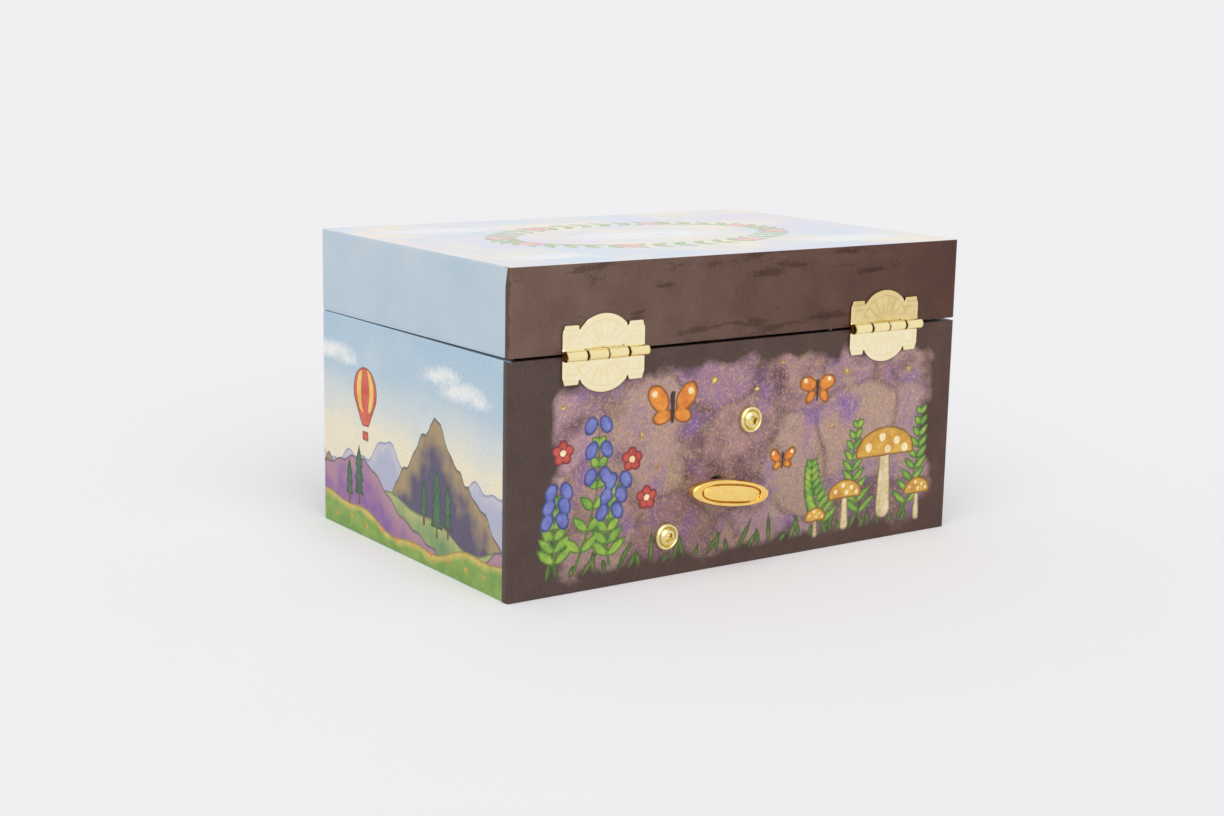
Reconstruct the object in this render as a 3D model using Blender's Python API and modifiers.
"""Musical jewellery box, in metres, +Z up, origin at the middle of the underside, back towards +Y.

A paper-covered case and hinged lid hold a mirror, a lined tray with ring rolls, and a ballerina on a coil
spring. A comb movement on the back board, wound by an oval key from behind, turns its cylinder and the
dancer's spindle from one crown wheel. A bent wire under the lid's edge brakes the governor fan."""

import math

import bmesh
import bpy
from mathutils import Matrix, Vector

for old in list(bpy.data.objects):
    bpy.data.objects.remove(old)

# Case
BOX_LENGTH = 0.155
BOX_DEPTH = 0.104
BOX_HEIGHT = 0.087
LID_HEIGHT = 0.0235
WALL = 0.005
FLOOR = 0.003
LID_TOP = 0.0035
SEAM_GAP = 0.0008
GAP = 0.0003  # left between pieces that touch
BOARD_EDGE = 0.0008

BACK_Y = BOX_DEPTH / 2
INNER_Y = BACK_Y - WALL
INNER_X = BOX_LENGTH / 2 - WALL
SEAM_Z = BOX_HEIGHT - LID_HEIGHT
RIM_Z = SEAM_Z - SEAM_GAP / 2
LID_EDGE_Z = SEAM_Z + SEAM_GAP / 2
LID_UNDER_Z = BOX_HEIGHT - LID_TOP
FLOOR_TOP = FLOOR + GAP

# Mirror and lining in the lid
MIRROR = 0.0018
MIRROR_BORDER_X = 0.0135
MIRROR_BORDER_Y = 0.012
MIRROR_LENGTH = 2 * (INNER_X - MIRROR_BORDER_X)
MIRROR_DEPTH = 2 * (INNER_Y - MIRROR_BORDER_Y)
LINING = 0.0014
MIRROR_Z = LID_UNDER_Z - GAP - MIRROR

# Pressed brass hinges: an arched leaf on each side of a four-knuckle barrel
HINGE_INSET = 0.0285
HINGE_X = BOX_LENGTH / 2 - HINGE_INSET
HINGES = (("left", -HINGE_X), ("right", HINGE_X))
LEAF = 0.00065
LEAF_LIFT = 0.0001  # of the leaf off the line of the barrel's back
LEAF_HALF = 0.013
SHOULDER_HALF = 0.0123
SHOULDER_RISE = 0.0078
ARCH_RADIUS = 0.0104
ARCH_HALF = 0.0075
ARCH_NOTCH = 0.0006
KNUCKLE = 0.0015
KNUCKLE_BORE = 0.0007
HINGE_PIN = 0.0005
BARREL_HALF = 0.0137
CENTRE_HALF = 0.00665  # of the knuckles on the lower leaf
KNUCKLE_CLEAR = 0.0004
PRONG_WIDTH = 0.0014
PRONG_HEIGHT = 0.0007
PRONG_DEPTH = 0.0032
PRONG_U = 0.0102
PRONG_V = 0.0062
HINGE_AXIS_Y = BACK_Y + GAP + KNUCKLE

# Winding key
KEY_X = 0.0102
KEY_Z = 0.0225
KEY_LENGTH = 0.0266
KEY_BREADTH = 0.0075
KEY_THICKNESS = 0.0028
KEY_FRONT = 0.007  # from the back board to the key's outer face
KEY_TILT = math.radians(8.2)
KEY_END = 0.0021  # radius of its blunt ends
KEY_END_SPREAD = math.radians(58)  # half the arc of an end
PANEL_MARGIN = 0.0034
PANEL_BREADTH = 0.0049
PANEL_END = 0.0016
PANEL_SINK = 0.0004
KEY_BOSS = 0.0027
KEY_HOLE = 0.0037

# Movement screws in cup washers
UPPER_SCREW = (-0.0005, 0.0409)
LOWER_SCREW = (0.0275, 0.0114)
CUP_RADIUS = 0.00375
CUP_HEIGHT = 0.0013
CUP_BAND = 0.00035  # height of its straight edge
CUP_SHOULDER_INSET = 0.00025
CUP_SHOULDER_DROP = 0.0003
CUP_LIP_INSET = 0.00085
CUP_MOUTH_INSET = 0.00125
SHANK = 0.00115
SCREW_CLEAR = 0.00035
SCREW_HOLE = SHANK + SCREW_CLEAR
SCREW_HEAD = 0.0021
SCREW_RIM = 0.0003  # height of the head's rim over the cup
SCREW_CROWN = 0.0004  # rise of its middle over the rim
SLOT_WIDTH = 0.0006
SLOT_LENGTH = 0.0026
SLOT_DEPTH = 0.0009

# Bedplate
BARREL_RADIUS = 0.0136
BED = 0.003
BED_LOW = 0.0076
BED_MARGIN = 0.00035  # of the plate past its end bracket
LUG = 0.0036  # of the casting round a screw
BED_RIGHT = LOWER_SCREW[0] + LUG
BED_STEP_CLEAR = 0.0014  # of its lower plate's top over the barrel
BED_STEP_Z = KEY_Z + BARREL_RADIUS + BED_STEP_CLEAR
BED_HIGH = UPPER_SCREW[1] + LUG
BED_REAR_Y = INNER_Y - GAP
BED_Y = BED_REAR_Y - BED
BRACKET = 0.0014
BRACKET_REACH = 0.0032
BRACKET_CLEAR = 0.0008
SINK = 0.0006  # overlap where cast features meet the plate

# Winding work
ARBOR = 0.0015
BORE = ARBOR + GAP
SPRING_CORE = 0.0026
RATCHET_TEETH = 24
RATCHET_TIP = 0.006
RATCHET_ROOT = 0.0051
RATCHET = 0.0012
RATCHET_OFF = 0.0006
CLICK_TOOTH = -2  # tooth, from +X, that the click holds
CLICK_PIVOT_RADIUS = 0.0086
CLICK_PIVOT_LAG = math.radians(45)
CLICK_EYE = 0.0019
CLICK_EYE_OPEN = math.radians(80)  # half the part of the eye that its arm covers
CLICK_STUD = 0.001
CLICK_NOSE_LAG = math.radians(2.6)  # this and the like are behind the tooth, and over its tip
CLICK_NOSE = 0.0007
CLICK_BROW_LAG = math.radians(9)
CLICK_BROW = 0.0015
CLICK_HEEL_LAG = math.radians(20)
CLICK_HEEL = 0.0006
CLICK_BELLY_LAG = math.radians(8.2)
CLICK_BELLY = -0.00006
CLICK_SPRING_LAG = math.radians(7)
CLICK_POST_RADIUS = 0.0125
CLICK_POST_LAG = math.radians(18)
CLICK_POST = 0.0008
CLICK_WIRE = 0.00025
RATCHET_Y = BED_Y - RATCHET_OFF - RATCHET / 2

# Spring barrel with crown teeth
BARREL_DEPTH = 0.0091
BARREL_OFF = 0.0023
BARREL_WALL = 0.0009
BARREL_FACE = 0.001
COVER = 0.0008
COVER_SET = 0.0003
CROWN_TEETH = 36
CROWN_INSET = 0.0016
CROWN_RADIUS = BARREL_RADIUS - CROWN_INSET
CROWN_FACE = 0.002
BARREL_REAR_Y = BED_Y - BARREL_OFF
BARREL_FRONT_Y = BARREL_REAR_Y - BARREL_DEPTH
MAINSPRING = 0.0003
MAINSPRING_TURNS = 7
MAINSPRING_STEPS = 16

# Wheel teeth
PRESSURE = math.tan(math.radians(20))
TOOTH_SHARE = 0.4  # of the pitch
ADDENDUM = 0.8
DEDENDUM = 1.15
CROWN_MODULE = 2 * CROWN_RADIUS / CROWN_TEETH
PINION_TEETH = 12
PINION_FACE = 0.0016
PINION_RADIUS = CROWN_MODULE * PINION_TEETH / 2
CROWN_PITCH_Y = BARREL_FRONT_Y - DEDENDUM * CROWN_MODULE

# Cylinder and comb
CYLINDER_Y = CROWN_PITCH_Y - PINION_RADIUS
CYLINDER_X = KEY_X - CROWN_RADIUS  # of its pinion
CYLINDER_RADIUS = 0.0065
CYLINDER_WALL = 0.0008
CYLINDER_LENGTH = 0.017
DRUM_CLEAR = 0.0004
PINION_BRACKET_X = KEY_X - BARREL_RADIUS - BRACKET_CLEAR - BRACKET / 2
CYLINDER_RIGHT = PINION_BRACKET_X - BRACKET / 2 - DRUM_CLEAR
CYLINDER_LEFT = CYLINDER_RIGHT - CYLINDER_LENGTH
PIN_HEIGHT = 0.0006
PIN_RADIUS = 0.00022
PINS_A_TINE = 2
TUNE_STEP = 0.381966  # of a turn, from the pins of one tine to those of the next
TUNE_SHIFT = 0.07
TUNE_BEAT = 3
COMB = 0.001
COMB_TINES = 16
TINE_SHARE = 0.6
COMB_MARGIN = 0.0015
COMB_CLEAR = 0.0004
COMB_ROOT = 0.005
COMB_SCREW_INSET = 0.005
COMB_SCREW_HEAD = 0.0019
COMB_SCREW_SHANK = 0.001
COMB_SCREW_RIM = 0.0005
COMB_SCREW_CROWN = 0.0004
COMB_SLOPE = 0.15  # rise of the tines' roots from bass to treble
COMB_LOW = KEY_Z + CYLINDER_RADIUS + PIN_HEIGHT + COMB_CLEAR
COMB_ROOT_LOW = BED_HIGH - COMB_ROOT
COMB_BACK_Y = CYLINDER_Y + COMB / 2

# Train to the governor
TRAIN_MODULE = 0.0005
GREAT_TEETH = 30
GREAT_FACE = 0.0015
IDLER_TEETH = 10
IDLER_FACE = 0.0022
GREAT_CLEAR = 0.0007
GREAT_X = CYLINDER_LEFT - GREAT_CLEAR - GREAT_FACE / 2
IDLER_Y = CYLINDER_Y + TRAIN_MODULE * (GREAT_TEETH + IDLER_TEETH) / 2
IDLER_ARBOR = 0.0008
TRAIN_BRACKET_OFF = 0.0031
TRAIN_BRACKET_X = GREAT_X - TRAIN_BRACKET_OFF
WORM_WHEEL_TEETH = 18
WORM_WHEEL_FACE = 0.001
WORM_WHEEL_SHARE = 0.34
WORM_WHEEL_ADDENDUM = 0.6
WORM_WHEEL_DEDENDUM = 0.7
WORM_WHEEL_RADIUS = TRAIN_MODULE * WORM_WHEEL_TEETH / 2
WORM_OFF = 0.0035
WORM_X = TRAIN_BRACKET_X - WORM_OFF
WORM_RADIUS = 0.0018
WORM_CORE = 0.00135
WORM_THREAD = 0.00038
WORM_THREAD_SET = 0.00025  # of the thread's middle over the core
WORM_TURNS = 3
WORM_STEPS = 9
WORM_RUNOUT = 0.6  # turns of bare core past the thread
WORM_PITCH = math.pi * TRAIN_MODULE
WORM_Z = KEY_Z + WORM_WHEEL_RADIUS + WORM_RADIUS
GOVERNOR_ARBOR = 0.0006
FAN_RADIUS = 0.003
FAN_BLADE = 0.0008
FAN_HUB = 0.0014
FAN_LENGTH = 0.0024
FAN_SET = 0.0022  # of the fan behind the cylinder's axis
EAR_CLEAR = 0.0019
SIDE_CLEAR = 0.001
FAN_Y = CYLINDER_Y + FAN_SET
GOVERNOR_EAR_Y = FAN_Y - FAN_LENGTH / 2 - EAR_CLEAR - BRACKET / 2
SIDE_PLATE_X = WORM_X - FAN_RADIUS - SIDE_CLEAR - BRACKET / 2
BED_LEFT = SIDE_PLATE_X - BRACKET / 2 - BED_MARGIN

# Stage over the movement
STAGE = 0.002
STAGE_CLEAR = 0.0007
STAGE_ROOM = 0.0024  # between the cylinder and the riser
RISER = 0.0025
STAGE_FRONT_Y = CYLINDER_Y - CYLINDER_RADIUS - PIN_HEIGHT - STAGE_ROOM - RISER
STAGE_UNDER_Z = BED_HIGH + STAGE_CLEAR
STAGE_TOP_Z = STAGE_UNDER_Z + STAGE
BUSH_RADIUS = 0.0033
BUSH_FLANGE = 0.0046
BUSH_RIM = 0.0006

# Dancer on her spindle
PEDESTAL_RADIUS = 0.008
PEDESTAL = 0.002
SOCKET_DEPTH = 0.0014
PEG = 0.0012
PEG_HEIGHT = 0.0014
COIL_RADIUS = 0.002
COIL_WIRE = 0.00035
COIL_PITCH = 0.00115
COIL_TURNS = 3
COIL_STEPS = 10
HEAD_CLEAR = 0.0006
ARM_CLEAR = 0.001
ARM_Z = BED_STEP_Z + ARM_CLEAR
SPINDLE_ARM = 0.0022
PEDESTAL_Z = STAGE_TOP_Z + GAP + BUSH_RIM + GAP
COIL_Z = PEDESTAL_Z + PEDESTAL + GAP + COIL_WIRE
FIGURE_Z = COIL_Z + COIL_TURNS * COIL_PITCH + COIL_WIRE + GAP
FIGURE_HEIGHT = MIRROR_Z - HEAD_CLEAR - FIGURE_Z
TUTU_RADIUS = 0.0088
TUTU = 0.0005
TUTU_FOLDS = 12
TUTU_FOLD_STEPS = 4
TUTU_RINGS = 3
TUTU_RUFFLE = 0.0006
TUTU_DROP = 0.00064
WAIST_SHARE = 0.5  # of her height, where the tutu sits

# Her radii, then her limbs as reach and height in shares of her height
BUN, HEAD, NECK, SHOULDER = 0.0009, 0.0017, 0.00065, 0.0017
BUST, WAIST, HIP, THIGH = 0.0016, 0.0012, 0.0017, 0.0013
KNEE, CALF, ANKLE, TOE, COLLAR = 0.0008, 0.00095, 0.00055, 0.0006, 0.0021
ARM = 0.0005
ARM_ROUTE = ((0.03, 0.7), (0.1, 0.71), (0.165, 0.77), (0.175, 0.85), (0.13, 0.925), (0.05, 0.975))
LEG_ROUTE = ((0.0, 0.46, THIGH), (0.09, 0.4, THIGH), (0.17, 0.34, KNEE), (0.1, 0.28, CALF), (0.03, 0.22, TOE))
LEG_FORWARD = 0.4  # of the raised leg's reach

# Stop wire
STOP_WIRE = 0.0006
STOP_WIRE_OFF = 0.0025  # from the back board
STOP_WIRE_Y = INNER_Y - STOP_WIRE_OFF
STOP_WIRE_TOP = 0.0028  # reach of its end into the back board
STOP_WIRE_BEND = 0.0016
STOP_WIRE_RUN = 0.0021  # height of its level run over the lower plate
STOP_WIRE_RUN_Z = BED_STEP_Z + STOP_WIRE_RUN
BRAKE_CLEAR = 0.00035

# Tray
DIVIDER = 0.0025
DIVIDER_TOP = 0.042
PAD = 0.004
PAD_EDGE = 0.0016
ROLLS = 4
ROLL_HEIGHT = 0.021
ROLL_EDGE = 0.0052

# Colour, roughness and metallic value of each finish
BROWN_PAPER = ("#54413a", 0.45, 0.0)
BLUE_PAPER = ("#b3cfe0", 0.5, 0.0)
GREY_BOARD = ("#8f8475", 0.9, 0.0)
VELVET = ("#7d4f86", 0.95, 0.0)
SATIN = ("#e3c6d6", 0.6, 0.0)
GLASS = ("#dfe6ea", 0.03, 1.0)
PALE_BRASS = ("#e6d4a0", 0.25, 1.0)
YELLOW_BRASS = ("#f2c862", 0.28, 1.0)
STEEL = ("#b9bcc0", 0.3, 1.0)
ZINC = ("#9a9b9c", 0.5, 1.0)
NYLON = ("#e9e6dc", 0.5, 0.0)
SKIN_PLASTIC = ("#f0c9b0", 0.4, 0.0)
TULLE = ("#f3b6c8", 0.85, 0.0)

TURN_X = Matrix(((0, 0, 1, 0), (1, 0, 0, 0), (0, 1, 0, 0), (0, 0, 0, 1)))  # an outline lies in YZ
TURN_Y = Matrix.Rotation(math.pi / 2, 4, "X")  # an outline lies in XZ
TURN_Z = Matrix.Identity(4)

PARTS = bpy.data.collections.new("ballerina_jewellery_box")
TOOLS = bpy.data.collections.new("cutters")
for group in (PARTS, TOOLS):
    bpy.context.scene.collection.children.link(group)


# Shapes. Each starts as a hidden tool, and becomes a part when it is given its name and finish.
def tool(data, place=TURN_Z):
    shape = bpy.data.objects.new("tool", data)
    TOOLS.objects.link(shape)
    shape.matrix_world = place
    shape.hide_render = True
    shape.display_type = "WIRE"
    return shape


def solid_from(source):
    """The evaluated shape as a closed mesh, in the place of its source."""
    bpy.context.view_layer.update()
    evaluated = source.evaluated_get(bpy.context.evaluated_depsgraph_get())
    mesh = bpy.data.meshes.new_from_object(evaluated)
    work = bmesh.new()
    work.from_mesh(mesh)
    bmesh.ops.remove_doubles(work, verts=work.verts, dist=1e-6)
    bmesh.ops.recalc_face_normals(work, faces=work.faces)
    work.to_mesh(mesh)
    work.free()
    place = source.matrix_world.copy()
    bpy.data.objects.remove(source)
    return tool(mesh, place)


def mesh_from(work):
    mesh = bpy.data.meshes.new("shape")
    work.to_mesh(mesh)
    work.free()
    return mesh


def block(low, high, edge=0.0, segments=1):
    low, high = Vector(low), Vector(high)
    work = bmesh.new()
    bmesh.ops.create_cube(work, size=1.0)
    bmesh.ops.scale(work, vec=high - low, verts=work.verts)
    if edge:
        bmesh.ops.bevel(work, geom=work.edges, offset=edge, segments=segments, profile=0.5, affect="EDGES")
    return tool(mesh_from(work), Matrix.Translation((low + high) / 2))


def rod(start, end, radius, sides=16):
    start, end = Vector(start), Vector(end)
    work = bmesh.new()
    depth = (end - start).length
    bmesh.ops.create_cone(
        work, cap_ends=True, segments=sides, radius1=radius, radius2=radius, depth=depth
    )
    turn = Vector((0, 0, 1)).rotation_difference(end - start).to_matrix().to_4x4()
    return tool(mesh_from(work), Matrix.Translation((start + end) / 2) @ turn)


def turned(profile, place, axis, closed=True, steps=24):
    """A profile of (radius, height) pairs, run round the axis through place."""
    work = bmesh.new()
    corners = [work.verts.new((radius, 0, height)) for radius, height in profile]
    for first, second in zip(corners, corners[1:]):
        work.edges.new((first, second))
    if closed:
        work.edges.new((corners[-1], corners[0]))
    turn = Vector((0, 0, 1)).rotation_difference(Vector(axis)).to_matrix().to_4x4()
    shape = tool(mesh_from(work), Matrix.Translation(place) @ turn)
    lathe = shape.modifiers.new("lathe", "SCREW")
    lathe.steps = lathe.render_steps = steps
    lathe.use_merge_vertices = True
    lathe.merge_threshold = 1e-6
    return solid_from(shape)


def ring(outer, inner, low, high, place, axis, steps=24):
    profile = [(outer, high), (outer, low), (inner, low), (inner, high)]
    return turned(profile, place, axis, steps=steps)


def flat(outlines, thickness, place, turn):
    curve = bpy.data.curves.new("outline", "CURVE")
    curve.dimensions = "2D"
    curve.fill_mode = "BOTH"
    curve.extrude = thickness / 2
    for outline in outlines:
        spline = curve.splines.new("POLY")
        spline.points.add(len(outline) - 1)
        for point, (u, v) in zip(spline.points, outline):
            point.co = (u, v, 0, 1)
        spline.use_cyclic_u = True
    return solid_from(tool(curve, Matrix.Translation(place) @ turn))


def tube(points, radius, resolution=1, radii=None):
    curve = bpy.data.curves.new("tube", "CURVE")
    curve.dimensions = "3D"
    curve.bevel_depth = radius
    curve.bevel_resolution = resolution
    curve.use_fill_caps = True
    spline = curve.splines.new("POLY")
    spline.points.add(len(points) - 1)
    for index, point in enumerate(points):
        spline.points[index].co = (*point, 1)
        if radii:
            spline.points[index].radius = radii[index] / radius
    return solid_from(tool(curve))


def cushion(low, high, edge):
    """A crowned pad with drawn-in corners."""
    shape = block(low, high, edge, segments=2)
    soft = shape.modifiers.new("soft", "SUBSURF")
    soft.levels = soft.render_levels = 1
    return shape


def combine(base, operation, tools):
    for other in tools:
        step = base.modifiers.new(operation.lower(), "BOOLEAN")
        step.operation = operation
        step.object = other
    return base


def finish_of(name, look):
    colour, roughness, metallic = look
    levels = [int(colour[i : i + 2], 16) / 255 for i in (1, 3, 5)]
    linear = [c / 12.92 if c <= 0.04045 else ((c + 0.055) / 1.055) ** 2.4 for c in levels]
    finish = bpy.data.materials.new(name + "_finish")
    finish.use_nodes = True
    shader = finish.node_tree.nodes["Principled BSDF"]
    shader.inputs["Base Color"].default_value = (*linear, 1)
    shader.inputs["Roughness"].default_value = roughness
    shader.inputs["Metallic"].default_value = metallic
    return finish


def part(shape, name, look, carrier=None):
    TOOLS.objects.unlink(shape)
    PARTS.objects.link(shape)
    shape.name = shape.data.name = name
    shape.hide_render = False
    shape.display_type = "TEXTURED"
    shape.data.materials.clear()
    shape.data.materials.append(finish_of(name, look))
    shape.data.shade_smooth()
    shape.data.set_sharp_from_angle(angle=math.radians(35))
    if carrier:
        shape.parent = carrier
        shape.matrix_parent_inverse = carrier.matrix_world.inverted()
    return shape


def pivot(name, place):
    """An empty on a joint's axis, which carries the pieces that turn or slide there."""
    empty = bpy.data.objects.new(name, None)
    empty.location = place
    PARTS.objects.link(empty)
    bpy.context.view_layer.update()
    return empty


def polar(radius, angle, centre=(0.0, 0.0)):
    return centre[0] + radius * math.cos(angle), centre[1] + radius * math.sin(angle)


def arc(radius, start, end, steps, centre=(0.0, 0.0)):
    return [polar(radius, start + (end - start) * i / steps, centre) for i in range(steps + 1)]


def circle(radius, centre=(0.0, 0.0), steps=16):
    return arc(radius, 0, 2 * math.pi * (1 - 1 / steps), steps - 1, centre)


def dome(radius, rise, base, steps=2):
    """Profile of a shallow cap on a rim at the base height, from its middle to its rim."""
    sphere = (radius**2 + rise**2) / (2 * rise)
    spread = math.asin(radius / sphere)
    angles = [spread * i / steps for i in range(steps + 1)]
    return [(sphere * math.sin(a), base + rise - sphere * (1 - math.cos(a))) for a in angles]


def gear(teeth, module, phase=0.0, share=TOOTH_SHARE, addendum=ADDENDUM, dedendum=DEDENDUM):
    """Outline of a wheel with straight-flanked teeth, one of them phase pitches past angle 0."""
    pitch_radius = module * teeth / 2
    half = share * math.pi * module / 2
    tip, root = pitch_radius + addendum * module, pitch_radius - dedendum * module
    tip_half = (half - addendum * module * PRESSURE) / tip
    root_half = (half + dedendum * module * PRESSURE) / root
    outline = []
    for tooth in range(teeth):
        middle = 2 * math.pi * (tooth + phase) / teeth
        outline += [polar(root, middle - root_half), polar(tip, middle - tip_half)]
        outline += [polar(tip, middle + tip_half), polar(root, middle + root_half)]
    return outline


# Case and lid boards
def prong_slots(side):
    """Slots in a back board for the prongs of the leaves above (1) or below (-1) the hinge line."""
    grow = Vector((GAP, GAP, GAP))
    slots = []
    for _, hinge_x in HINGES:
        for low, high in prong_boxes(hinge_x, side):
            slots.append(block(low - grow, high + grow))
    return slots


def prong_boxes(hinge_x, side):
    leaf_back = BACK_Y + GAP + LEAF_LIFT
    half = Vector((PRONG_WIDTH / 2, 0, PRONG_HEIGHT / 2))
    for u in (-PRONG_U, PRONG_U):
        middle = Vector((hinge_x + u, leaf_back, SEAM_Z + side * PRONG_V))
        yield middle - half - Vector((0, PRONG_DEPTH, 0)), middle + half + Vector((0, LEAF / 2, 0))


def build_case():
    end_y = INNER_Y - GAP
    half = BOX_LENGTH / 2
    front = block((-half, -BACK_Y, 0), (half, -INNER_Y, RIM_Z), BOARD_EDGE)
    part(front, "base_front_board", BLUE_PAPER)
    back = block((-half, INNER_Y, 0), (half, BACK_Y, RIM_Z), BOARD_EDGE)
    through = WALL
    cuts = prong_slots(-1)
    for (x, z), radius in (((KEY_X, KEY_Z), KEY_HOLE), (UPPER_SCREW, SCREW_HOLE), (LOWER_SCREW, SCREW_HOLE)):
        cuts.append(rod((x, INNER_Y - through, z), (x, BACK_Y + through, z), radius, 24))
    room = STOP_WIRE + GAP
    wire_z = LID_EDGE_Z - GAP - STOP_WIRE
    cuts.append(
        block(
            (WORM_X - room, INNER_Y - through, wire_z - room),
            (WORM_X + room, INNER_Y + STOP_WIRE_TOP + GAP, RIM_Z + through),
        )
    )
    part(combine(back, "DIFFERENCE", cuts), "base_back_board", BROWN_PAPER)
    for name, x in (("left", -half), ("right", INNER_X)):
        end = block((x, -end_y, 0), (x + WALL, end_y, RIM_Z), BOARD_EDGE)
        part(end, f"base_{name}_board", BLUE_PAPER)
    floor = block((-INNER_X + GAP, -end_y, 0), (INNER_X - GAP, end_y, FLOOR))
    part(floor, "base_floor_board", GREY_BOARD)


def build_lid(carrier):
    end_y = INNER_Y - GAP
    half = BOX_LENGTH / 2
    top_z = LID_UNDER_Z - GAP
    top = block((-half, -BACK_Y, LID_UNDER_Z), (half, BACK_Y, BOX_HEIGHT), BOARD_EDGE)
    part(top, "lid_top_board", BLUE_PAPER, carrier)
    front = block((-half, -BACK_Y, LID_EDGE_Z), (half, -INNER_Y, top_z), BOARD_EDGE)
    part(front, "lid_front_board", BLUE_PAPER, carrier)
    back = block((-half, INNER_Y, LID_EDGE_Z), (half, BACK_Y, top_z), BOARD_EDGE)
    part(combine(back, "DIFFERENCE", prong_slots(1)), "lid_back_board", BROWN_PAPER, carrier)
    for name, x in (("left", -half), ("right", INNER_X)):
        end = block((x, -end_y, LID_EDGE_Z), (x + WALL, end_y, top_z), BOARD_EDGE)
        part(end, f"lid_{name}_board", BLUE_PAPER, carrier)
    lining_low = top_z - LINING
    lining = block((-INNER_X + GAP, -end_y, lining_low), (INNER_X - GAP, end_y, top_z))
    window = Vector((MIRROR_LENGTH / 2 + GAP, MIRROR_DEPTH / 2 + GAP, 0))
    cut = block((-window.x, -window.y, lining_low - LINING), (window.x, window.y, LID_UNDER_Z))
    part(combine(lining, "DIFFERENCE", [cut]), "lid_lining", SATIN, carrier)
    glass = block(
        (-MIRROR_LENGTH / 2, -MIRROR_DEPTH / 2, MIRROR_Z), (MIRROR_LENGTH / 2, MIRROR_DEPTH / 2, top_z)
    )
    part(glass, "lid_mirror", GLASS, carrier)


# Hinges
def leaf_outline(owns_centre):
    """The leaf from the hinge line up: it reaches the line at its own knuckles and clears the others."""
    clear = KNUCKLE + KNUCKLE_CLEAR
    inner = CENTRE_HALF if owns_centre else CENTRE_HALF + GAP
    outer_v, centre_v = (clear, 0) if owns_centre else (0, clear)
    foot = [(-LEAF_HALF, outer_v), (-inner, outer_v), (-inner, centre_v)]
    foot += [(-u, v) for u, v in reversed(foot)]
    arch_start = math.acos(ARCH_HALF / ARCH_RADIUS)
    head = [(SHOULDER_HALF, SHOULDER_RISE), (ARCH_HALF + ARCH_NOTCH, SHOULDER_RISE)]
    arch = arc(ARCH_RADIUS, arch_start, math.pi - arch_start, 12)
    return foot + head + arch + [(-u, v) for u, v in reversed(head)]


def build_leaf(name, hinge_x, side, carrier=None):
    owns_centre = side < 0
    outline = [(u, side * v) for u, v in leaf_outline(owns_centre)]
    leaf_y = BACK_Y + GAP + LEAF_LIFT + LEAF / 2
    leaf = flat([outline], LEAF, (hinge_x, leaf_y, SEAM_Z), TURN_Y)
    axis = (hinge_x, HINGE_AXIS_Y, SEAM_Z)
    if owns_centre:
        spans = [(-CENTRE_HALF, CENTRE_HALF)]
    else:
        spans = [(-BARREL_HALF, -CENTRE_HALF - GAP), (CENTRE_HALF + GAP, BARREL_HALF)]
    joined = [ring(KNUCKLE, KNUCKLE_BORE, low, high, axis, (1, 0, 0), 16) for low, high in spans]
    joined += [block(low, high) for low, high in prong_boxes(hinge_x, side)]
    part(combine(leaf, "UNION", joined), name, PALE_BRASS, carrier)


def build_hinges(lid):
    for name, hinge_x in HINGES:
        build_leaf(f"hinge_{name}_lower_leaf", hinge_x, -1)
        build_leaf(f"hinge_{name}_upper_leaf", hinge_x, 1, lid)
        reach = Vector((BARREL_HALF - GAP, 0, 0))
        middle = Vector((hinge_x, HINGE_AXIS_Y, SEAM_Z))
        part(rod(middle - reach, middle + reach, HINGE_PIN, 12), f"hinge_{name}_pin", STEEL)


# Screws and washers
def cross_slot(place, axis_y, depth):
    x, z = place
    wide, long = SLOT_WIDTH / 2, SLOT_LENGTH / 2
    low, high = axis_y - depth, axis_y + depth
    return [
        block((x - wide, low, z - long), (x + wide, high, z + long)),
        block((x - long, low, z - wide), (x + long, high, z + wide)),
    ]


def build_wall_screws():
    for name, (x, z) in (("upper", UPPER_SCREW), ("lower", LOWER_SCREW)):
        seat = (x, BACK_Y + GAP, z)
        throat = SHANK + 2 * GAP
        shoulder = (CUP_RADIUS - CUP_SHOULDER_INSET, CUP_HEIGHT - CUP_SHOULDER_DROP)
        cup = [(CUP_RADIUS - CUP_LIP_INSET, CUP_HEIGHT), shoulder, (CUP_RADIUS, CUP_BAND), (CUP_RADIUS, 0)]
        cup += [(throat, 0), (throat, CUP_BAND), (CUP_RADIUS - CUP_MOUTH_INSET, CUP_HEIGHT)]
        part(turned(cup, seat, (0, 1, 0), steps=20), f"cup_washer_{name}", PALE_BRASS)
        length = BACK_Y + GAP - BED_Y - 2 * GAP
        head = dome(SCREW_HEAD, SCREW_CROWN, CUP_HEIGHT + SCREW_RIM)
        head += [(SHANK, CUP_BAND + GAP), (SHANK, -length), (0, -length)]
        screw = turned(head, seat, (0, 1, 0), closed=False, steps=16)
        slots = cross_slot((x, z), seat[1] + CUP_HEIGHT + SCREW_RIM + SCREW_CROWN, SLOT_DEPTH)
        part(combine(screw, "DIFFERENCE", slots), f"wall_screw_{name}", PALE_BRASS)


# Winding key, arbor, ratchet and click
def lens(length, breadth, end):
    """An oval of two long arcs with blunt round ends."""
    half, rise = length / 2 - end, breadth / 2
    reach = half + end * math.cos(KEY_END_SPREAD)
    drop = rise - end * math.sin(KEY_END_SPREAD)
    radius = (reach**2 + drop**2) / (2 * drop)
    spread = math.asin(reach / radius)
    top = arc(radius, math.pi / 2 - spread, math.pi / 2 + spread, 12, (0, rise - radius))
    tip = arc(end, math.pi - KEY_END_SPREAD, math.pi + KEY_END_SPREAD, 5, (-half, 0))[1:-1]
    return top + tip + [(-u, -v) for u, v in top] + [(-u, -v) for u, v in tip]


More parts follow.
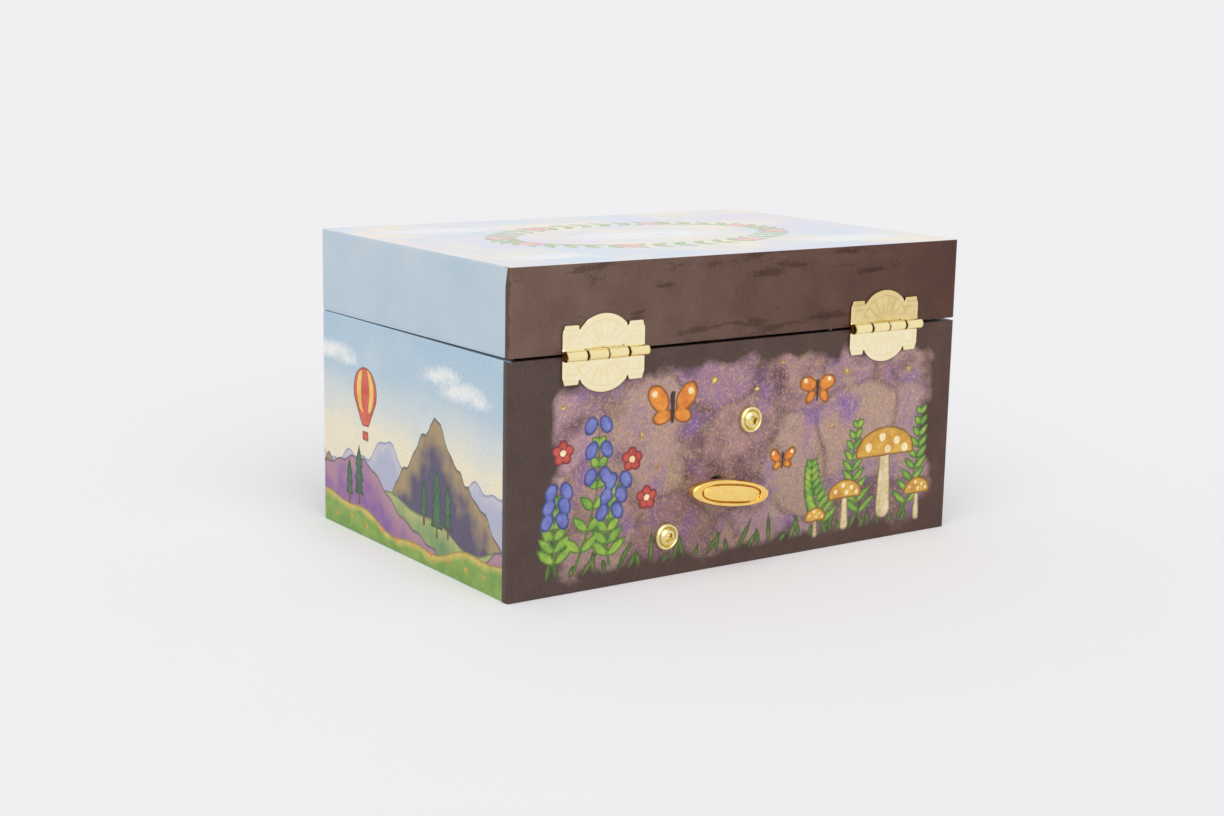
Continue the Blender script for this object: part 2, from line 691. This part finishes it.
def build_winder(carrier):
    face_y = BACK_Y + KEY_FRONT
    turn = Matrix.Rotation(-KEY_TILT, 4, "Y") @ TURN_Y
    body_y = face_y - KEY_THICKNESS / 2
    key = flat([lens(KEY_LENGTH, KEY_BREADTH, KEY_END)], KEY_THICKNESS, (KEY_X, body_y, KEY_Z), turn)
    panel = lens(KEY_LENGTH - 2 * PANEL_MARGIN, PANEL_BREADTH, PANEL_END)
    recess = flat([panel], 2 * PANEL_SINK, (KEY_X, face_y, KEY_Z), turn)
    back_y = face_y - KEY_THICKNESS
    boss = rod((KEY_X, BACK_Y + GAP, KEY_Z), (KEY_X, back_y + SINK, KEY_Z), KEY_BOSS)
    arbor_end = back_y + KEY_THICKNESS / 2
    socket = rod((KEY_X, INNER_Y, KEY_Z), (KEY_X, arbor_end, KEY_Z), BORE)
    combine(key, "UNION", [boss])
    part(combine(key, "DIFFERENCE", [recess, socket]), "winding_key", YELLOW_BRASS, carrier)

    core_low = BARREL_FRONT_Y + BARREL_FACE + 2 * GAP
    core_high = BARREL_REAR_Y - COVER_SET - COVER - 2 * GAP
    tip = BARREL_FRONT_Y - GAP
    steps = [(0, arbor_end - GAP), (ARBOR, arbor_end - GAP), (ARBOR, core_high), (SPRING_CORE, core_high)]
    steps += [(SPRING_CORE, core_low), (ARBOR, core_low), (ARBOR, tip), (0, tip)]
    arbor = turned(steps, (KEY_X, 0, KEY_Z), (0, 1, 0), closed=False, steps=20)
    part(arbor, "winding_arbor", STEEL, carrier)

    teeth = []
    for tooth in range(RATCHET_TEETH):
        angle = 2 * math.pi * tooth / RATCHET_TEETH
        teeth += [polar(RATCHET_ROOT, angle), polar(RATCHET_TIP, angle)]
    wheel = flat([teeth, circle(BORE)], RATCHET, (KEY_X, RATCHET_Y, KEY_Z), TURN_Y)
    part(wheel, "ratchet_wheel", STEEL, carrier)


def click_angle():
    return 2 * math.pi * CLICK_TOOTH / RATCHET_TEETH


def click_pivot():
    return polar(CLICK_PIVOT_RADIUS, click_angle() - CLICK_PIVOT_LAG, (KEY_X, KEY_Z))


def click_post():
    return polar(CLICK_POST_RADIUS, click_angle() - CLICK_POST_LAG, (KEY_X, KEY_Z))


def build_click(carrier):
    """The click's nose stands behind a ratchet tooth, and its eye turns on a stud of the bedplate."""
    held = click_angle()
    centre = (KEY_X, KEY_Z)
    nose = held - CLICK_NOSE_LAG
    eye = click_pivot()
    point = polar(RATCHET_ROOT + GAP, nose, centre)
    toward = math.atan2(point[1] - eye[1], point[0] - eye[0])
    outline = [point, polar(RATCHET_TIP + CLICK_NOSE, nose, centre)]
    outline.append(polar(RATCHET_TIP + CLICK_BROW, held - CLICK_BROW_LAG, centre))
    outline += arc(CLICK_EYE, toward - CLICK_EYE_OPEN, toward + CLICK_EYE_OPEN - 2 * math.pi, 10, eye)
    outline.append(polar(RATCHET_TIP + CLICK_HEEL, held - CLICK_HEEL_LAG, centre))
    outline.append(polar(RATCHET_TIP + CLICK_BELLY, held - CLICK_BELLY_LAG, centre))
    click = flat([outline, circle(CLICK_STUD + GAP, eye, 14)], RATCHET, (0, RATCHET_Y, 0), TURN_Y)
    part(click, "ratchet_click", STEEL, carrier)

    start = polar(CLICK_POST_RADIUS - CLICK_POST - GAP - CLICK_WIRE, held - CLICK_POST_LAG, centre)
    end = polar(RATCHET_TIP + CLICK_BROW + GAP + CLICK_WIRE, held - CLICK_SPRING_LAG, centre)
    bow = ((start[0] + end[0]) / 2, (start[1] + end[1]) / 2 + 2 * CLICK_WIRE)
    wire = [(x, RATCHET_Y, z) for x, z in (start, bow, end)]
    part(tube(wire, CLICK_WIRE), "click_spring", STEEL)


# Spring barrel
def build_barrel(carrier):
    inner = BARREL_RADIUS - BARREL_WALL
    face = BARREL_FRONT_Y + BARREL_FACE
    cup = [(BARREL_RADIUS, BARREL_REAR_Y), (BARREL_RADIUS, BARREL_FRONT_Y), (BORE, BARREL_FRONT_Y)]
    cup += [(BORE, face), (inner, face), (inner, BARREL_REAR_Y)]
    barrel = turned(cup, (KEY_X, 0, KEY_Z), (0, 1, 0), steps=36)
    teeth = bmesh.new()
    half = TOOTH_SHARE * math.pi * CROWN_MODULE / 2
    tip_y = CROWN_PITCH_Y - ADDENDUM * CROWN_MODULE
    root_y = BARREL_FRONT_Y + GAP
    tip_half = half - (CROWN_PITCH_Y - tip_y) * PRESSURE
    root_half = half + (root_y - CROWN_PITCH_Y) * PRESSURE
    for tooth in range(CROWN_TEETH):
        made = bmesh.ops.create_cube(teeth, size=1.0)["verts"]
        for corner in made:
            at_tip = corner.co.y < 0
            corner.co.z *= 2 * (tip_half if at_tip else root_half)
            corner.co.y = tip_y if at_tip else root_y
            corner.co.x = CROWN_RADIUS + corner.co.x * CROWN_FACE
        spin = Matrix.Rotation(2 * math.pi * tooth / CROWN_TEETH, 3, "Y")
        bmesh.ops.rotate(teeth, verts=made, cent=(0, 0, 0), matrix=spin)
    crown = tool(mesh_from(teeth), Matrix.Translation((KEY_X, 0, KEY_Z)))
    part(combine(barrel, "UNION", [crown]), "spring_barrel", YELLOW_BRASS, carrier)

    rear = BARREL_REAR_Y - COVER_SET
    cover = ring(inner - GAP, BORE, rear - COVER, rear, (KEY_X, 0, KEY_Z), (0, 1, 0), 30)
    part(cover, "barrel_cover", YELLOW_BRASS, carrier)

    low, high = SPRING_CORE + 2 * GAP, inner - 2 * GAP
    count = MAINSPRING_TURNS * MAINSPRING_STEPS
    coil = [
        polar(low + (high - low) * i / count, 2 * math.pi * i / MAINSPRING_STEPS) for i in range(count + 1)
    ]
    strip = bmesh.new()
    start_y, width = face + 2 * GAP, rear - COVER - face - 4 * GAP
    edge = [strip.verts.new((x, start_y, z)) for x, z in coil]
    line = [strip.edges.new(pair) for pair in zip(edge, edge[1:])]
    raised = bmesh.ops.extrude_edge_only(strip, edges=line)["geom"]
    risen = [v for v in raised if isinstance(v, bmesh.types.BMVert)]
    bmesh.ops.translate(strip, vec=(0, width, 0), verts=risen)
    ribbon = tool(mesh_from(strip), Matrix.Translation((KEY_X, 0, KEY_Z)))
    thicken = ribbon.modifiers.new("strip", "SOLIDIFY")
    thicken.thickness = MAINSPRING
    thicken.offset = 0
    print_gap("mainspring", (high - low) / MAINSPRING_TURNS - MAINSPRING)
    part(solid_from(ribbon), "mainspring", STEEL, carrier)


def print_gap(name, gap):
    print(f"{name}: least gap between turns {gap * 1000:.2f} mm")


# Bedplate casting
def build_bedplate():
    rear = BED_Y + SINK
    plate = block((BED_LEFT, BED_Y, BED_LOW), (BED_RIGHT, BED_REAR_Y, BED_STEP_Z))
    comb_left, comb_right = CYLINDER_LEFT - COMB_MARGIN, CYLINDER_RIGHT + COMB_MARGIN
    upper_right = KEY_X + BRACKET_REACH + SINK
    features = [
        block((comb_left, BED_Y, BED_STEP_Z - LUG), (upper_right, BED_REAR_Y, BED_HIGH)),
        block((comb_left, COMB_BACK_Y + GAP, COMB_ROOT_LOW + GAP), (comb_right, rear, BED_HIGH - SINK)),
        block(
            (KEY_X - BRACKET_REACH, CYLINDER_Y - BRACKET_REACH, ARM_Z),
            (KEY_X + BRACKET_REACH, rear, ARM_Z + SPINDLE_ARM),
        ),
    ]
    for x in (PINION_BRACKET_X, TRAIN_BRACKET_X):
        features.append(
            block(
                (x - BRACKET / 2, CYLINDER_Y - BRACKET_REACH, KEY_Z - BRACKET_REACH),
                (x + BRACKET / 2, rear, KEY_Z + BRACKET_REACH),
            )
        )
    ear_low, ear_high = WORM_Z - BRACKET_REACH, WORM_Z + BRACKET_REACH
    side = (SIDE_PLATE_X - BRACKET / 2, SIDE_PLATE_X + BRACKET / 2)
    ear = (GOVERNOR_EAR_Y - BRACKET / 2, GOVERNOR_EAR_Y + BRACKET / 2)
    features.append(block((side[0], ear[0] + SINK, KEY_Z - BRACKET_REACH), (side[1], rear, ear_high)))
    ear_far = (WORM_X + BRACKET_REACH, ear[1], ear_high - SINK)
    features.append(block((side[0] + SINK, ear[0], ear_low), ear_far))
    stud_y = RATCHET_Y - RATCHET / 2
    for (x, z), radius in ((click_pivot(), CLICK_STUD), (click_post(), CLICK_POST)):
        features.append(rod((x, stud_y, z), (x, rear, z), radius, 12))

    cuts = []
    for (x, z), radius in (((KEY_X, KEY_Z), BORE), (UPPER_SCREW, SCREW_HOLE), (LOWER_SCREW, SCREW_HOLE)):
        cuts.append(rod((x, BED_Y - BED, z), (x, BED_REAR_Y + BED, z), radius))
    pivot_hole = GOVERNOR_ARBOR + GAP
    cuts.append(rod((WORM_X, ear[0] - BED, WORM_Z), (WORM_X, BED_REAR_Y + BED, WORM_Z), pivot_hole, 14))
    left, right = TRAIN_BRACKET_X - BED, CYLINDER_X
    cuts.append(rod((left, CYLINDER_Y, KEY_Z), (right, CYLINDER_Y, KEY_Z), BORE))
    idler_hole = IDLER_ARBOR + GAP
    cuts.append(rod((side[0] - BED, IDLER_Y, KEY_Z), (GREAT_X, IDLER_Y, KEY_Z), idler_hole, 14))
    cuts.append(rod((KEY_X, CYLINDER_Y, ARM_Z - BED), (KEY_X, CYLINDER_Y, ARM_Z + BED + BED), BORE))
    for x, z in comb_screw_places():
        cuts.append(rod((x, COMB_BACK_Y - BED, z), (x, COMB_BACK_Y + 2 * BED, z), COMB_SCREW_SHANK + GAP, 14))
    combine(plate, "UNION", features)
    part(combine(plate, "DIFFERENCE", cuts), "movement_bedplate", ZINC)


# Pinned cylinder and comb
def build_cylinder(carrier):
    place = (0, CYLINDER_Y, KEY_Z)
    axis = (1, 0, 0)
    inner = CYLINDER_RADIUS - CYLINDER_WALL
    hub = CYLINDER_RIGHT - 2 * CYLINDER_WALL
    shell = [(CYLINDER_RADIUS, CYLINDER_RIGHT), (CYLINDER_RADIUS, CYLINDER_LEFT), (inner, CYLINDER_LEFT)]
    shell += [(inner, hub), (BORE, hub), (BORE, CYLINDER_RIGHT)]
    drum = turned(shell, place, axis, steps=32)
    pins = bmesh.new()
    sunk = CYLINDER_WALL / 2
    height = PIN_HEIGHT + sunk
    stand = Matrix.Translation((0, 0, CYLINDER_RADIUS - sunk + height / 2))
    for tine in range(COMB_TINES):
        across = Matrix.Translation((tine_x(tine), 0, 0))
        for pin in range(PINS_A_TINE):
            turn = TUNE_STEP * tine + pin / PINS_A_TINE + TUNE_SHIFT * (tine % TUNE_BEAT)
            spin = Matrix.Rotation(2 * math.pi * turn, 4, "X")
            bmesh.ops.create_cone(
                pins, cap_ends=True, segments=4, radius1=PIN_RADIUS, radius2=PIN_RADIUS, depth=height,
                matrix=across @ spin @ stand,
            )
    studs = tool(mesh_from(pins), Matrix.Translation(place))
    part(combine(drum, "UNION", [studs]), "music_cylinder", YELLOW_BRASS, carrier)

    left = TRAIN_BRACKET_X - BRACKET / 2
    right = CYLINDER_X + PINION_FACE
    part(rod((left, CYLINDER_Y, KEY_Z), (right, CYLINDER_Y, KEY_Z), ARBOR), "cylinder_arbor", STEEL, carrier)
    pinion = [gear(PINION_TEETH, CROWN_MODULE, 0.5), circle(BORE)]
    shape = flat(pinion, PINION_FACE, (CYLINDER_X, CYLINDER_Y, KEY_Z), TURN_X)
    part(shape, "cylinder_pinion", YELLOW_BRASS, carrier)
    great = [gear(GREAT_TEETH, TRAIN_MODULE), circle(BORE)]
    part(flat(great, GREAT_FACE, (GREAT_X, CYLINDER_Y, KEY_Z), TURN_X), "cylinder_gear", NYLON, carrier)


def tine_pitch():
    return CYLINDER_LENGTH / (COMB_TINES + 1)


def tine_x(tine):
    return CYLINDER_LEFT + (tine + 1) * tine_pitch()


def comb_screw_places():
    z = BED_HIGH - COMB_ROOT / 2
    return [(CYLINDER_LEFT + COMB_SCREW_INSET, z), (CYLINDER_RIGHT - COMB_SCREW_INSET, z)]


def build_comb():
    left, right = CYLINDER_LEFT - COMB_MARGIN, CYLINDER_RIGHT + COMB_MARGIN
    top = BED_HIGH - SINK
    half = TINE_SHARE * tine_pitch() / 2
    outline = [(right, top), (left, top), (left, COMB_ROOT_LOW)]
    for tine in range(COMB_TINES):
        x = tine_x(tine)
        root = COMB_ROOT_LOW - COMB_SLOPE * tine_pitch() * tine
        outline += [(x - half, root), (x - half, COMB_LOW), (x + half, COMB_LOW), (x + half, root)]
    outline.append((right, COMB_ROOT_LOW))
    holes = [circle(COMB_SCREW_SHANK + GAP, place, 14) for place in comb_screw_places()]
    part(flat([outline, *holes], COMB, (0, CYLINDER_Y, 0), TURN_Y), "music_comb", STEEL)
    front = CYLINDER_Y - COMB / 2 - GAP
    for name, (x, z) in zip(("left", "right"), comb_screw_places()):
        reach = BED + COMB
        profile = dome(COMB_SCREW_HEAD, COMB_SCREW_CROWN, COMB_SCREW_RIM)
        profile += [(COMB_SCREW_HEAD, 0), (COMB_SCREW_SHANK, 0), (COMB_SCREW_SHANK, -reach), (0, -reach)]
        screw = turned(profile, (x, front, z), (0, -1, 0), closed=False, steps=16)
        slot = block(
            (x - COMB_SCREW_HEAD, front - 2 * COMB, z - SLOT_WIDTH / 2),
            (x + COMB_SCREW_HEAD, front - COMB_SCREW_RIM, z + SLOT_WIDTH / 2),
        )
        part(combine(screw, "DIFFERENCE", [slot]), f"comb_screw_{name}", STEEL)


# Idler and governor
def build_idler(carrier):
    left = SIDE_PLATE_X - BRACKET / 2
    right = GREAT_X + IDLER_FACE / 2 + GAP
    arbor = rod((left, IDLER_Y, KEY_Z), (right, IDLER_Y, KEY_Z), IDLER_ARBOR, 14)
    part(arbor, "idler_arbor", STEEL, carrier)
    bore = IDLER_ARBOR + GAP
    pinion = [gear(IDLER_TEETH, TRAIN_MODULE, 0.5), circle(bore, steps=14)]
    part(flat(pinion, IDLER_FACE, (GREAT_X, IDLER_Y, KEY_Z), TURN_X), "idler_pinion", NYLON, carrier)
    teeth = gear(
        WORM_WHEEL_TEETH, TRAIN_MODULE, 0, WORM_WHEEL_SHARE, WORM_WHEEL_ADDENDUM, WORM_WHEEL_DEDENDUM
    )
    wheel = flat([teeth, circle(bore, steps=14)], WORM_WHEEL_FACE, (WORM_X, IDLER_Y, KEY_Z), TURN_X)
    part(wheel, "worm_wheel", NYLON, carrier)


def build_governor(carrier):
    front = GOVERNOR_EAR_Y - BRACKET / 2
    back = BED_Y + BED / 2
    half = (WORM_TURNS / 2 + WORM_RUNOUT) * WORM_PITCH
    axis = [(0, back), (GOVERNOR_ARBOR, back), (GOVERNOR_ARBOR, IDLER_Y + half), (WORM_CORE, IDLER_Y + half)]
    axis += [(WORM_CORE, IDLER_Y - half), (GOVERNOR_ARBOR, IDLER_Y - half)]
    axis += [(GOVERNOR_ARBOR, front), (0, front)]
    worm = turned(axis, (WORM_X, 0, WORM_Z), (0, 1, 0), closed=False, steps=14)
    thread_radius = WORM_CORE + WORM_THREAD_SET
    thread = []
    for i in range(WORM_TURNS * WORM_STEPS + 1):
        turn = i / WORM_STEPS - WORM_TURNS / 2
        angle = math.pi + 2 * math.pi * turn
        y = IDLER_Y + WORM_PITCH * turn
        thread.append((WORM_X + thread_radius * math.sin(angle), y, WORM_Z + thread_radius * math.cos(angle)))
    part(combine(worm, "UNION", [tube(thread, WORM_THREAD)]), "governor_worm", STEEL, carrier)
    low, high = FAN_Y - FAN_LENGTH / 2, FAN_Y + FAN_LENGTH / 2
    hub = ring(FAN_HUB, GOVERNOR_ARBOR + GAP, low, high, (WORM_X, 0, WORM_Z), (0, 1, 0), 16)
    blades = []
    for sign in (-1, 1):
        ends = sorted((sign * (GOVERNOR_ARBOR + 2 * GAP), sign * FAN_RADIUS))
        blades.append(
            block(
                (WORM_X + ends[0], low + GAP, WORM_Z - FAN_BLADE / 2),
                (WORM_X + ends[1], high - GAP, WORM_Z + FAN_BLADE / 2),
            )
        )
    part(combine(hub, "UNION", blades), "governor_fan", NYLON, carrier)


# Stop wire
def rounded(corners, radius, steps=4):
    """A bent wire's line: straight runs with an arc at each inner corner."""
    line = [Vector(corners[0])]
    for before, corner, after in zip(corners, corners[1:], corners[2:]):
        corner = Vector(corner)
        back = (Vector(before) - corner).normalized() * radius
        ahead = (Vector(after) - corner).normalized() * radius
        centre = corner + back + ahead
        for i in range(steps + 1):
            angle = math.pi / 2 * i / steps
            line.append(centre - ahead * math.cos(angle) - back * math.sin(angle))
    line.append(Vector(corners[-1]))
    return line


def build_stop_wire(carrier):
    top_z = LID_EDGE_Z - GAP - STOP_WIRE
    brake_z = WORM_Z + FAN_RADIUS + BRAKE_CLEAR
    corners = [
        (WORM_X, INNER_Y + STOP_WIRE_TOP, top_z),
        (WORM_X, STOP_WIRE_Y, top_z),
        (WORM_X, STOP_WIRE_Y, STOP_WIRE_RUN_Z),
        (WORM_X, FAN_Y, STOP_WIRE_RUN_Z),
        (WORM_X, FAN_Y, brake_z),
    ]
    part(tube(rounded(corners, STOP_WIRE_BEND), STOP_WIRE), "stop_wire", STEEL, carrier)


# Stage and tray
def build_stage():
    side = INNER_X - GAP
    deck = block((-side, STAGE_FRONT_Y, STAGE_UNDER_Z), (side, INNER_Y - GAP, STAGE_TOP_Z))
    room = STOP_WIRE + GAP
    low, high = STAGE_UNDER_Z - STAGE, STAGE_TOP_Z + STAGE
    bush_hole = rod((KEY_X, CYLINDER_Y, low), (KEY_X, CYLINDER_Y, high), BUSH_RADIUS + GAP)
    notch = block((WORM_X - room, STOP_WIRE_Y - room, low), (WORM_X + room, BACK_Y, high))
    part(combine(deck, "DIFFERENCE", [bush_hole, notch]), "stage_deck", VELVET)
    riser = block((-side, STAGE_FRONT_Y, FLOOR_TOP), (side, STAGE_FRONT_Y + RISER, STAGE_UNDER_Z - GAP))
    part(riser, "stage_riser", VELVET)
    flange_z = STAGE_TOP_Z + GAP
    sleeve = [(BORE, flange_z + BUSH_RIM), (BUSH_FLANGE, flange_z + BUSH_RIM), (BUSH_FLANGE, flange_z)]
    sleeve += [(BUSH_RADIUS, flange_z), (BUSH_RADIUS, STAGE_UNDER_Z), (BORE, STAGE_UNDER_Z)]
    part(turned(sleeve, (KEY_X, CYLINDER_Y, 0), (0, 0, 1)), "stage_bush", YELLOW_BRASS)


def build_tray():
    front_y, back_y = -INNER_Y + GAP, STAGE_FRONT_Y - GAP
    half = DIVIDER / 2
    side = INNER_X - GAP
    divider = block((-half, front_y, FLOOR_TOP), (half, back_y, DIVIDER_TOP))
    part(divider, "tray_divider", VELVET)
    pad = cushion((half + GAP, front_y, FLOOR_TOP), (side, back_y, FLOOR_TOP + PAD), PAD_EDGE)
    part(pad, "tray_pad", VELVET)
    width = (back_y - front_y - (ROLLS - 1) * GAP) / ROLLS
    for roll in range(ROLLS):
        low = front_y + roll * (width + GAP)
        high = (-half - GAP, low + width, FLOOR_TOP + ROLL_HEIGHT)
        part(cushion((-side, low, FLOOR_TOP), high, ROLL_EDGE), f"ring_roll_{roll + 1}", VELVET)


# Dancer
def build_dancer(carrier):
    x, y = KEY_X, CYLINDER_Y
    pinion_z = KEY_Z + CROWN_RADIUS
    socket_top = PEDESTAL_Z + SOCKET_DEPTH
    spindle = rod((x, y, pinion_z - PINION_FACE), (x, y, socket_top - GAP), ARBOR)
    part(spindle, "dancer_spindle", STEEL, carrier)
    pinion = [gear(PINION_TEETH, CROWN_MODULE, 0.5), circle(BORE)]
    part(flat(pinion, PINION_FACE, (x, y, pinion_z), TURN_Z), "spindle_pinion", YELLOW_BRASS, carrier)

    top = PEDESTAL_Z + PEDESTAL
    stand = [(0, top + PEG_HEIGHT), (PEG, top + PEG_HEIGHT), (PEG, top), (PEDESTAL_RADIUS - GAP, top)]
    stand += [(PEDESTAL_RADIUS, top - GAP), (PEDESTAL_RADIUS, PEDESTAL_Z), (BORE, PEDESTAL_Z)]
    stand += [(BORE, socket_top), (0, socket_top)]
    pedestal = turned(stand, (x, y, 0), (0, 0, 1), closed=False, steps=32)
    part(pedestal, "dancer_pedestal", YELLOW_BRASS, carrier)

    coil = []
    for i in range(COIL_TURNS * COIL_STEPS + 1):
        across = polar(COIL_RADIUS, 2 * math.pi * i / COIL_STEPS, (x, y))
        coil.append((*across, COIL_Z + COIL_PITCH * i / COIL_STEPS))
    least = min(
        (Vector(a) - Vector(b)).length
        for i, a in enumerate(coil)
        for b in coil[i + COIL_STEPS // 2 :]
    )
    print_gap("dancer_spring", least - 2 * COIL_WIRE)
    part(tube(coil, COIL_WIRE), "dancer_spring", STEEL, carrier)
    build_figure(x, y, carrier)
    build_tutu(x, y, carrier)


def build_figure(x, y, carrier):
    """A ballerina on one toe, one leg drawn up and her arms in a ring overhead."""
    tall = FIGURE_HEIGHT
    shares = [(0, 0.93), (0.6 * BUN, 0.925), (BUN, 0.905), (0.8 * BUN, 0.885), (0.75 * HEAD, 0.867)]
    shares += [(HEAD, 0.825), (0.8 * HEAD, 0.785), (NECK, 0.765), (NECK, 0.735), (SHOULDER, 0.705)]
    shares += [(BUST, 0.65), (WAIST, 0.57), (HIP, 0.49), (THIGH, 0.42), (KNEE, 0.27), (CALF, 0.2)]
    shares += [(ANKLE, 0.08), (TOE, 0.025), (COLLAR, 0.02), (COLLAR, 0.0)]
    profile = [(radius, FIGURE_Z + share * tall) for radius, share in shares]
    peg_low = PEDESTAL_Z + PEDESTAL + PEG_HEIGHT + GAP
    profile += [(PEG, FIGURE_Z), (PEG, peg_low), (0, peg_low)]
    body = turned(profile, (x, y, 0), (0, 0, 1), closed=False, steps=16)
    limbs = []
    for side in (-1, 1):
        points = [(x + side * across * tall, y, FIGURE_Z + up * tall) for across, up in ARM_ROUTE]
        limbs.append(tube(points, ARM))
    points = []
    for across, up, _ in LEG_ROUTE:
        points.append((x + across * tall, y - LEG_FORWARD * across * tall, FIGURE_Z + up * tall))
    limbs.append(tube(points, THIGH, radii=[radius for _, _, radius in LEG_ROUTE]))
    part(combine(body, "UNION", limbs), "ballerina_figure", SKIN_PLASTIC, carrier)


def build_tutu(x, y, carrier):
    """A flat skirt of net whose ruffles grow towards its edge."""
    inner = HIP + 2 * GAP
    work = bmesh.new()
    bmesh.ops.create_circle(work, segments=TUTU_FOLD_STEPS * TUTU_FOLDS, radius=inner)
    edges = list(work.edges)
    for step in range(1, TUTU_RINGS + 1):
        grown = bmesh.ops.extrude_edge_only(work, edges=edges)["geom"]
        corners = [v for v in grown if isinstance(v, bmesh.types.BMVert)]
        edges = [e for e in grown if isinstance(e, bmesh.types.BMEdge)]
        radius = inner + (TUTU_RADIUS - inner) * step / TUTU_RINGS
        for corner in corners:
            corner.co *= radius / corner.co.length
    for corner in work.verts:
        share = (corner.co.length - inner) / (TUTU_RADIUS - inner)
        wave = math.cos(TUTU_FOLDS * math.atan2(corner.co.y, corner.co.x))
        corner.co.z = TUTU_RUFFLE * share * wave - TUTU_DROP * share**2
    skirt = tool(mesh_from(work), Matrix.Translation((x, y, FIGURE_Z + WAIST_SHARE * FIGURE_HEIGHT)))
    net = skirt.modifiers.new("net", "SOLIDIFY")
    net.thickness = TUTU
    net.offset = 0
    part(solid_from(skirt), "ballerina_tutu", TULLE, carrier)


def main():
    lid = pivot("lid_axis", (0, HINGE_AXIS_Y, SEAM_Z))
    winder = pivot("winder_axis", (KEY_X, BACK_Y, KEY_Z))
    click = pivot("click_axis", (click_pivot()[0], RATCHET_Y, click_pivot()[1]))
    barrel = pivot("barrel_axis", (KEY_X, BARREL_FRONT_Y, KEY_Z))
    cylinder = pivot("cylinder_axis", (CYLINDER_X, CYLINDER_Y, KEY_Z))
    idler = pivot("idler_axis", (GREAT_X, IDLER_Y, KEY_Z))
    governor = pivot("governor_axis", (WORM_X, IDLER_Y, WORM_Z))
    dancer = pivot("dancer_axis", (KEY_X, CYLINDER_Y, STAGE_TOP_Z))
    stop = pivot("stop_wire_line", (WORM_X, STOP_WIRE_Y, RIM_Z))
    build_case()
    build_lid(lid)
    build_hinges(lid)
    build_wall_screws()
    build_winder(winder)
    build_click(click)
    build_barrel(barrel)
    build_bedplate()
    build_cylinder(cylinder)
    build_comb()
    build_idler(idler)
    build_governor(governor)
    build_stop_wire(stop)
    build_stage()
    build_tray()
    build_dancer(dancer)


main()
